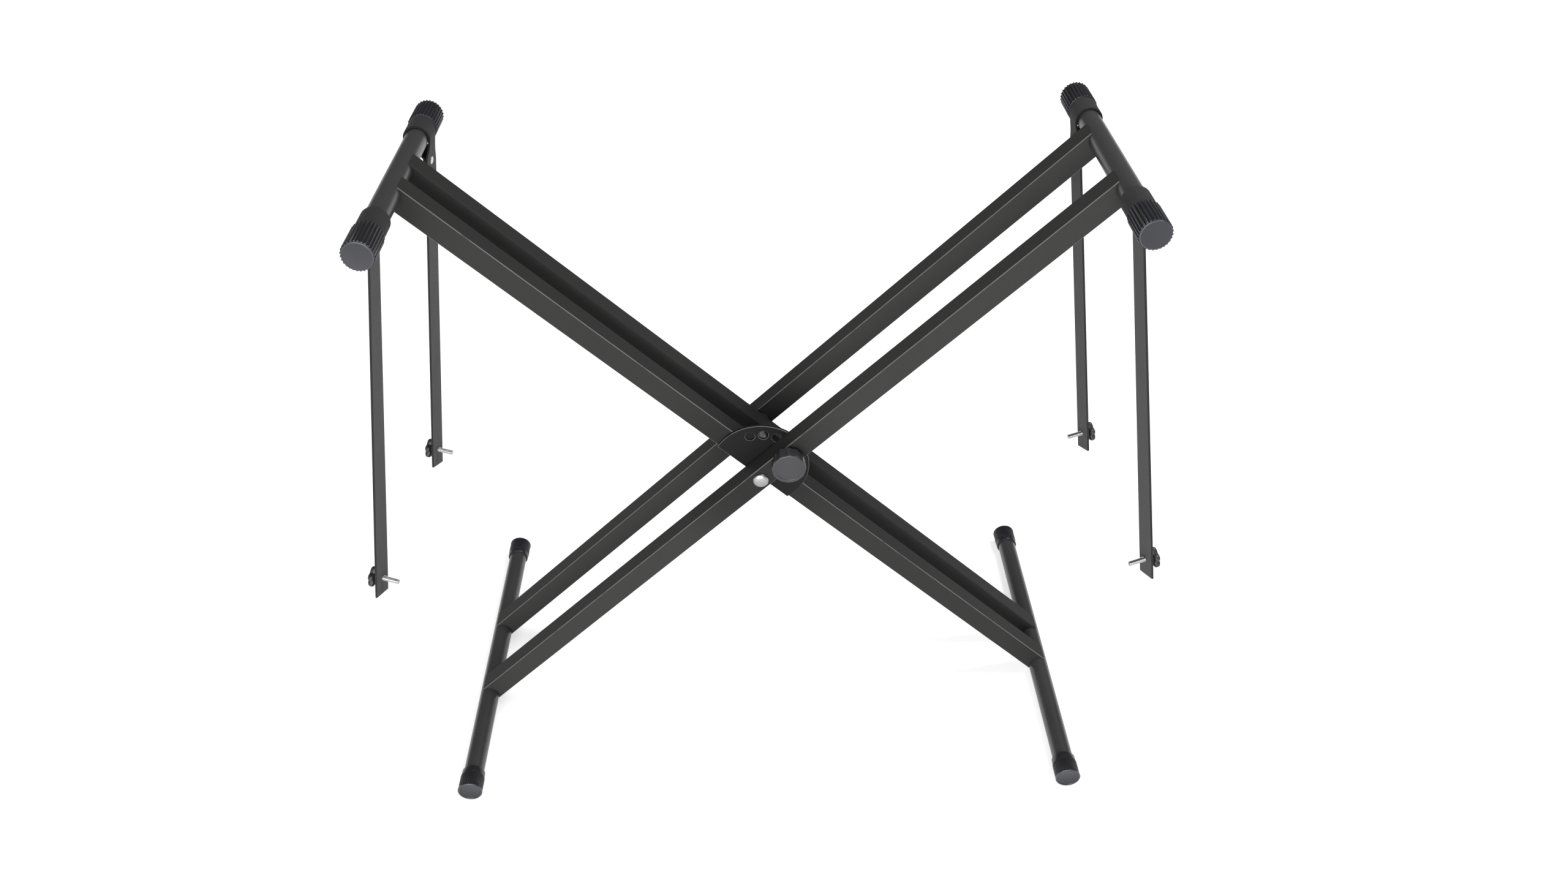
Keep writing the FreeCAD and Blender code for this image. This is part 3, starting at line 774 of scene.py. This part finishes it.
@dataclass
class FootCap(Cap):
    """Short foot cap: rimmed end, a finely ribbed band and a smooth collar."""

    kind: str = "foot"
    rim: float = 14.7
    rim_length: float = 2.5
    band: float = 14.45
    collar: float = 13.9
    collar_length: float = 8.0
    rib_count: int = 40
    rib_depth: float = 0.5

    def build(self, material: bpy.types.Material) -> None:
        """Make the cap in place of its solid."""
        length = self.seat()[1]
        rim, band, collar = self.rim, self.band, self.collar
        edge = self.rim_length
        step = length - self.collar_length
        outside = [(0.5, 0.0), (0.5, rim - 3.0), (0.35, rim - 2.6), (0.05, rim - 2.3), (0.0, rim - 2.0),
                   (0.0, rim - 0.9), (0.2, rim - 0.4), (0.7, rim), (edge - 0.3, rim),
                   (edge - 0.05, rim - 0.2), (edge, rim - 0.45), (edge + 0.1, band - 0.3, 1.0),
                   (edge + 0.5, band, 1.0), (step - 0.5, band, 1.0), (step - 0.1, band - 0.3, 1.0),
                   (step, collar - 0.2), (step + 0.2, collar), (length - 0.8, collar),
                   (length - 0.25, collar - 0.25), (length, collar - 0.8)]
        self.cover(material, outside, "moulded", self.rib_count * 8,
                   ribs(self.rib_count, self.rib_depth, 0.35, 0.25))


@dataclass
class PivotBolt:
    """Low-domed bolt through the legs."""

    shank: float = 5.0
    head: float = 9.0
    head_height: float = 4.2

    def build(self, material: bpy.types.Material) -> None:
        """Make the bolt in place of its solid."""
        seat, length = end_seat("pivot_bolt")
        under = self.head_height
        profile = [(0.0, 0.0), (0.03, 1.8), (0.18, 3.6), (0.45, 5.2), (0.9, 6.7), (1.5, 7.9), (2.1, 8.6),
                   (2.8, self.head), (under - 0.3, self.head), (under, self.head - 0.3), (under, self.shank),
                   (length - 0.8, self.shank), (length, self.shank - 0.8), (length, 0.0)]
        shell = turned("pivot_bolt_domed", seat, profile, 72)
        own(shell.make(material), "pivot_bolt", "outer_frame")


@dataclass
class LockKnob:
    """Fluted pull knob with a rimmed face and a hollow back."""

    radius: float = 19.0
    flutes: int = 12
    flute_depth: float = 0.9
    rim_inner: float = 15.0
    face_recess: float = 0.6
    back_radius: float = 18.2
    pocket: float = 13.5
    web: float = 6.0
    stem: float = 4.05
    stem_cover: float = 2.5

    def build(self, material: bpy.types.Material) -> None:
        """Make the knob in place of its solid."""
        seat, depth = end_seat("lock_knob")
        recess, inner, radius = self.face_recess, self.rim_inner, self.radius
        profile = [(recess, 0.0), (recess, inner - 0.5), (recess * 0.6, inner - 0.15), (0.1, inner + 0.1),
                   (0.0, inner + 0.4), (0.0, radius - 2.0), (0.12, radius - 1.3, 0.1),
                   (0.5, radius - 0.5, 0.25), (1.1, radius - 0.1, 0.45), (2.0, radius, 0.8),
                   (3.2, radius, 1.0),
                   (depth - 0.8, self.back_radius, 1.0), (depth - 0.2, self.back_radius - 0.3, 1.0),
                   (depth, self.back_radius - 0.9, 0.8), (depth, self.pocket + 0.4),
                   (depth - 0.4, self.pocket), (self.web, self.pocket), (self.web, self.stem),
                   (self.stem_cover, self.stem), (self.stem_cover, 0.0)]
        shell = turned("lock_knob_fluted", seat, profile, self.flutes * 24,
                       ribs(self.flutes, self.flute_depth, 0.34, 0.16))
        own(shell.make(material), "lock_knob", "lock_pull")


@dataclass
class Strap:
    """One webbing strap with its loop, rivet, thumb screw and knob."""

    hand: str
    place: str
    twist: float = 12.0
    width: float = 30.4
    thickness: float = 2.4
    loop_radius: float = 12.3
    loop_close: float = 22.0
    ply_end: float = 36.0
    twist_start: float = 4.0
    twist_join: float = 34.0
    screw_rise: float = 19.0
    rivet_drop: float = 29.0
    edge_round: float = 0.9
    end_slant: float = 12.0
    smooth_reach: int = 6
    smooth_spread: float = 2.0

    def __post_init__(self) -> None:
        """Pick the swing, length, shift of the plies and upper twist for the front or the rear."""
        front = self.place == "front"
        self.swing = 10.5 if front else 9.0
        self.length = 472.0 if front else 450.0
        self.shift = 0.0 if front else 10.3
        self.upper_twist = 5.0 if front else 8.0

    def corner(self) -> str:
        """Name of the stand's corner."""
        return f"{self.hand}_{self.place}"

    def sign(self) -> int:
        """-1 on the left, 1 on the right."""
        return -1 if self.hand == "left" else 1

    def hang(self, points: Array) -> Array:
        """Carry points from a strap that hangs along -Z from the origin to its arm.

        The points are mirrored in X on the right, turned about Y by the swing, and moved to the arm
        tube's axis in the middle of the strap's width.
        """
        tube = middle(f"{self.hand}_arm_tube")
        row = middle(f"strap_rivet_{self.corner()}").y
        turn = math.radians(-self.sign() * self.swing)
        x = points[..., 0] * -self.sign()
        z = points[..., 2]
        return np.stack([tube.x + (x * math.cos(turn) + z * math.sin(turn)) * MM,
                         row + points[..., 1] * MM,
                         tube.z + (z * math.cos(turn) - x * math.sin(turn)) * MM], -1)

    def path(self) -> Array:
        """Middle line of the webbing as (x, z): up the returned ply, round the tube, down the strap.

        The line is joined from two upright runs, two tangents and one arc, sampled every
        millimetre, and each point is then averaged with its neighbours to round the joins.
        """
        half = self.thickness / 2
        radius = self.loop_radius + half
        back, main = self.shift - half, self.shift + half
        start, end = (math.atan2(-self.loop_close, x)
                      + side * math.acos(radius / math.hypot(x, self.loop_close))
                      for x, side in ((back, -1), (main, 1)))
        angles = np.linspace(start, end - 2 * math.pi, 60)
        round_tube = np.stack([radius * np.cos(angles), radius * np.sin(angles)], -1)
        corners = np.concatenate([[[back, -self.ply_end], [back, -self.loop_close]], round_tube,
                                  [[main, -self.loop_close], [main, -self.length]]])
        gone = travelled(corners)
        even = np.linspace(0, gone[-1], int(gone[-1]) + 1)
        line = np.stack([np.interp(even, gone, corners[:, i]) for i in range(2)], -1)
        reach = self.smooth_reach
        weights = np.exp(-0.5 * (np.arange(-reach, reach + 1) / self.smooth_spread) ** 2)
        padded = np.concatenate([2 * line[:1] - line[reach:0:-1], line,
                                 2 * line[-1:] - line[-2:-reach - 2:-1]])
        smooth = [np.convolve(padded[:, i], weights / weights.sum(), "valid") for i in range(2)]
        return np.stack(smooth, -1)

    def twisted(self, depth: Array) -> Array:
        """Turn about the strap's own length in radians at each depth below the tube's axis.

        It grows by a smooth step to the upper twist, then evenly to the full twist at the screw.
        """
        share = np.clip((depth - self.twist_start) / (self.twist_join - self.twist_start), 0, 1)
        rest = np.clip((depth - self.twist_join) / (self.length - self.screw_rise - self.twist_join), 0, 1)
        smooth = share * share * (3 - 2 * share)
        return np.radians(self.upper_twist * smooth + (self.twist - self.upper_twist) * rest)

    def section(self) -> Array:
        """Outline of the webbing as (across the thickness, across the width).

        It is a flat bar whose four corners are quarter circles.
        """
        round_off = self.edge_round
        angles = np.radians(np.array([0, 30, 60, 90]))
        points = []
        for quarter, (x, y) in enumerate(((1, 1), (-1, 1), (-1, -1), (1, -1))):
            turned_by = angles + quarter * math.pi / 2
            points.append(np.stack([x * (self.thickness / 2 - round_off) + round_off * np.cos(turned_by),
                                    y * (self.width / 2 - round_off) + round_off * np.sin(turned_by)], -1))
        return self._subdivide(np.concatenate(points))

    def _subdivide(self, outline: Array) -> Array:
        """Add points along the two wide faces, which span the gaps of more than 3 mm."""
        pieces = []
        for here, there in zip(outline, np.roll(outline, -1, 0)):
            steps = 13 if np.linalg.norm(there - here) > 3 else 1
            pieces.append(here + (there - here) * (np.arange(steps) / steps)[:, None])
        return np.concatenate(pieces)

    def webbing(self, material: bpy.types.Material) -> None:
        """Carry the section along the path, turned by the twist about the line where the plies meet.

        Over the last stretch, as long as the slant, points sink by the slant times their place across
        the width, from 0 at the front edge to 1 at the rear edge, so the lower end is cut askew.
        """
        line = self.path()
        flow = np.gradient(line, axis=0)
        flow /= np.linalg.norm(flow, axis=1)[:, None]
        normal = np.stack([flow[:, 1], np.zeros(len(flow)), -flow[:, 0]], -1)
        turn = self.twisted(-line[:, 1])
        out = np.stack([normal[:, 0] * np.cos(turn), -np.sin(turn) * normal[:, 0], normal[:, 2]], -1)
        wide = np.stack([np.sin(turn), np.cos(turn), np.zeros(len(turn))], -1)
        section = self.section()
        off = line[:, 0] - self.shift
        centre = np.stack([self.shift + off * np.cos(turn), -off * np.sin(turn), line[:, 1]], -1)
        rings = (centre[:, None] + section[None, :, :1] * out[:, None]
                 + section[None, :, 1:] * wide[:, None])
        low = np.clip(1 + (-line[:, 1] - self.length) / self.end_slant, 0, 1)[:, None]
        rings[..., 2] -= low * self.end_slant * (section[None, :, 1] / self.width + 0.5)
        closed = np.concatenate([section, section[:1]])
        shell = Shell("webbing_" + self.corner(), self.hang(rings),
                      step_u=travelled(closed) * MM, step_v=travelled(line) * MM)
        node = "strap_" + self.corner()
        own(shell.make(material, 60.0), node, node)

    def rivet(self, material: bpy.types.Material) -> None:
        """Two low domes on one shank."""
        node = "strap_rivet_" + self.corner()
        turn = self.twisted(np.array([self.rivet_drop]))[0]
        ends = self.hang(np.array([[0, 0, 0], [math.cos(turn), -math.sin(turn), 0]]))
        inward = ends[1] - ends[0]
        face = self.thickness + 0.05
        half = [(face, 2.0), (face, 4.2), (face + 0.15, 4.45), (face + 0.4, 4.3), (face + 0.8, 3.3),
                (face + 1.1, 1.8), (face + 1.2, 0.0)]
        profile = [(-s, r) for s, r in reversed(half)] + half
        shell = turned("rivet_" + self.corner(), seat_at(middle(node), inward), profile, 40)
        own(shell.make(material, 50.0), node, "strap_" + self.corner())

    def build(self, finishes: Finishes) -> None:
        """Make the strap, its rivet, its screw and the screw's knob."""
        self.webbing(finishes.webbing)
        self.rivet(finishes.zinc)
        ThumbScrew(self.corner()).build(finishes)


@dataclass
class ThumbScrew:
    """Captive thumb screw with a lobed knob.

    The knob's boss starts at the clearance from the strap's face, and the screw's neck ends at the neck
    reach past the other face.
    """

    corner: str
    strap_half: float = 1.2
    clearance: float = 0.3
    in_knob: float = 8.5
    neck: float = 2.6
    neck_reach: float = 1.0
    shank: float = 3.0
    reach: float = 20.0
    pitch: float = 1.0
    thread_depth: float = 0.55
    sides: int = 28
    rows_per_turn: int = 8
    boss: float = 7.0
    boss_height: float = 4.0
    lobes: int = 6
    grip: float = 13.5
    grip_height: float = 7.0
    valley: float = 4.0

    def place(self) -> tuple[Array, Array]:
        """Middle of the strap at the screw, and the direction in which the screw points."""
        joint = next(j for j in frame["joints"] if j["name"] == "screw_turn_" + self.corner)
        return np.array(joint["pos_m"], float), np.array(joint["axis"], float)

    def threaded(self, material: bpy.types.Material) -> None:
        """Screw with a helical thread.

        The radius is the shank's less the thread depth times a rounded triangle wave of the distance
        along the axis in pitches less the angle in turns, faded out at the neck and the end.
        """
        origin, along = self.place()
        start = self.strap_half + self.neck_reach
        end = self.strap_half + self.reach
        sides = self.sides
        rows = np.arange(start, end, self.pitch / self.rows_per_turn)
        angle = np.arange(sides) * (2 * math.pi / sides)
        turns = rows[:, None] / self.pitch - angle[None, :] / (2 * math.pi)
        wave = np.abs((turns % 1.0) * 2 - 1)
        fade = np.clip((rows - start) / 0.8, 0, 1)[:, None]
        limit = np.minimum(self.shank, self.shank - 0.5 + (end - rows))[:, None]
        radius = np.minimum(self.shank - self.thread_depth * np.clip(wave * 1.3 - 0.1, 0, 1) * fade, limit)
        back = -(self.strap_half + self.clearance + self.in_knob)
        plain = np.array([[back, self.neck - 0.3], [back + 0.3, self.neck], [start - 0.25, self.neck]])
        ring_s = np.concatenate([plain[:, 0], rows, [end]])
        ring_r = np.concatenate([np.repeat(plain[:, 1:], sides, 1), radius,
                                 np.full((1, sides), self.shank - 0.9)])
        points = np.stack([ring_r * np.cos(angle), ring_r * np.sin(angle),
                           np.broadcast_to(ring_s[:, None], ring_r.shape)], -1)
        shell = Shell("threaded_screw_" + self.corner, seat_at(origin, along).put(points))
        own(shell.make(material, 28.0), "thumb_screw_" + self.corner, "screw_" + self.corner)

    def lobed(self, material: bpy.types.Material) -> None:
        """Knob: tapered boss, then a grip whose domed edge follows the lobes.

        The relief is the valley depth times one less the size of the cosine of half the lobe angle,
        rounded at the bottom of each valley.
        """
        def carve(angle: Array) -> Array:
            """Depth below the lobes' crests at each angle."""
            crest = np.sqrt(np.cos(angle * self.lobes / 2) ** 2 + 0.03) / math.sqrt(1.03)
            return self.valley * (1 - crest)

        origin, along = self.place()
        start = origin - along * (self.strap_half + self.clearance) * MM
        base, grip, top = self.boss_height, self.grip, self.boss_height + self.grip_height
        bore = self.neck + 0.05
        profile = [(self.in_knob, 0.0), (self.in_knob, bore), (0.3, bore), (0.0, bore + 0.3),
                   (0.0, self.boss - 0.4), (0.2, self.boss - 0.1), (base * 0.6, self.boss - 0.6),
                   (base, self.boss - 0.9), (base, grip - 2.4, 0.6), (base + 0.15, grip - 1.3, 0.8),
                   (base + 0.6, grip - 0.5, 0.95), (base + 1.4, grip - 0.05, 1.0),
                   (base + 3.0, grip, 1.0), (top - 2.4, grip - 0.2, 1.0), (top - 1.4, grip - 0.8, 0.95),
                   (top - 0.6, grip - 1.9, 0.85), (top - 0.15, grip - 3.6, 0.6), (top, grip - 6.0, 0.2),
                   (top, 5.0), (top - 0.4, 4.6), (top - 0.4, 0.0)]
        shell = turned("lobed_knob_" + self.corner, seat_at(start, -along), profile, self.lobes * 24, carve)
        own(shell.make(material), "thumb_knob_" + self.corner, "screw_" + self.corner)

    def build(self, finishes: Finishes) -> None:
        """Make the screw and its knob."""
        self.threaded(finishes.zinc)
        self.lobed(finishes.plastic)


# ---------------------------------------------------------------- studio


@dataclass(frozen=True)
class Lamp:
    """Square soft lamp: its place and the point that it faces in metres, its width, its watts."""

    name: str
    spot: tuple[float, float, float]
    aim: tuple[float, float, float]
    size: float
    power: float

    def place(self) -> None:
        """Put the lamp in the scene."""
        data = bpy.data.lights.new(self.name, "AREA")
        data.size = self.size
        data.energy = self.power
        made = bpy.data.objects.new(self.name, data)
        made.location = self.spot
        made.rotation_euler = (Vector(self.aim) - Vector(self.spot)).to_track_quat("-Z", "Y").to_euler()
        bpy.context.scene.collection.objects.link(made)


@dataclass
class Studio:
    """Pale floor, soft light and the photograph's camera."""

    eye: tuple[float, float, float] = (-0.00315, -1.1537, 1.23743)
    yaw: float = -0.0099
    pitch: float = 0.6432
    roll: float = 0.0314
    lens: float = 28.27
    sensor: float = 36.0
    clip_start: float = 0.05
    shift: tuple[float, float] = (0.0235, -0.0031)
    floor_half: float = 30.0
    floor_shade: float = 0.76
    fade: tuple[float, float] = (0.3, 3.2)
    lift_near: float = 0.62
    lift_far: float = 0.97
    sky: float = 0.15
    lamps: tuple[Lamp, ...] = (Lamp("front_lamp", (-0.5, -3.0, 1.2), (0, 0, 0.35), 2.2, 120.0),
                               Lamp("side_lamp", (1.3, 0.26, 2.64), (0, 0, 0.4), 0.9, 45.0))

    def camera(self) -> None:
        """Camera whose axes are worked out from its yaw, pitch and roll."""
        flat = Vector((math.sin(self.yaw), math.cos(self.yaw), 0))
        view = flat * math.cos(self.pitch) - Vector((0, 0, math.sin(self.pitch)))
        level = Vector((math.cos(self.yaw), -math.sin(self.yaw), 0))
        down = view.cross(level)
        right = level * math.cos(self.roll) + down * math.sin(self.roll)
        low = down * math.cos(self.roll) - level * math.sin(self.roll)
        turn = Matrix((right, -low, -view)).transposed()
        data = bpy.data.cameras.new("photo_camera")
        data.lens = self.lens
        data.sensor_width = self.sensor
        data.sensor_fit = "HORIZONTAL"
        data.shift_x, data.shift_y = self.shift
        data.clip_start = self.clip_start
        made = bpy.data.objects.new("photo_camera", data)
        made.matrix_world = Matrix.Translation(self.eye) @ turn.to_4x4()
        bpy.context.scene.collection.objects.link(made)
        bpy.context.scene.camera = made

    def floor(self) -> None:
        """Pale floor that lifts what the camera, gloss and glass see of it towards white.

        The lift grows with the distance from the stand as the lamps' own light on the floor fades.
        """
        recipe = Recipe("pale_floor")
        path = recipe.node("ShaderNodeLightPath", {}, {}, "Is Camera Ray")
        sockets = path.socket.node.outputs
        seen = path.more_of(Term(recipe, sockets["Is Glossy Ray"]))
        seen = seen.more_of(Term(recipe, sockets["Is Transmission Ray"]))
        x, y, _ = recipe.parts(recipe.spot())
        away = ((x * x + y * y) ** 0.5).ramp(*self.fade)
        lift = recipe.blend(away, grey(self.lift_near), grey(self.lift_far))
        material = recipe.finish(Base_Color=grey(self.floor_shade), Roughness=0.9, Specular_IOR_Level=0.0,
                                 Emission_Color=recipe.blend(seen, grey(0.0), lift), Emission_Strength=1.0)
        half = self.floor_half
        mesh = bpy.data.meshes.new("floor")
        mesh.from_pydata([(-half, -half, 0), (half, -half, 0), (half, half, 0), (-half, half, 0)],
                         [], [(0, 1, 2, 3)])
        mesh.materials.append(material)
        made = bpy.data.objects.new("floor", mesh)
        bpy.context.scene.collection.objects.link(made)

    def light(self) -> None:
        """One broad lamp from the front, a smaller one from the upper right and an even surround."""
        world = bpy.data.worlds.new("surround")
        world.use_nodes = True
        world.node_tree.nodes["Background"].inputs[0].default_value = grey(self.sky)
        bpy.context.scene.world = world
        for lamp in self.lamps:
            lamp.place()

    def build(self) -> None:
        """Set up floor, light and camera."""
        bpy.context.scene.view_settings.view_transform = "Standard"
        self.floor()
        self.light()
        self.camera()


def main() -> None:
    """Dress the solids, make the finer pieces and set up the studio."""
    logging.basicConfig(level=logging.INFO)
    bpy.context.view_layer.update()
    left_arm, right_foot = middle("left_arm_tube"), middle("right_foot_tube")
    lean = math.atan2(left_arm.z - right_foot.z, right_foot.x - left_arm.x)
    finishes = Finishes(lean, middle("pivot_bolt").z)
    SteelFrame(finishes).dress()
    for hand in ("left", "right"):
        for place in ("front", "rear"):
            ArmCap(hand, place).build(finishes.arm_rubber)
            FootCap(hand, place).build(finishes.foot_rubber)
            Strap(hand, place).build(finishes)
    PivotBolt().build(finishes.dull_zinc)
    LockKnob().build(finishes.plastic)
    Studio().build()
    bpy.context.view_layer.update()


if __name__ == "__main__":
    main()
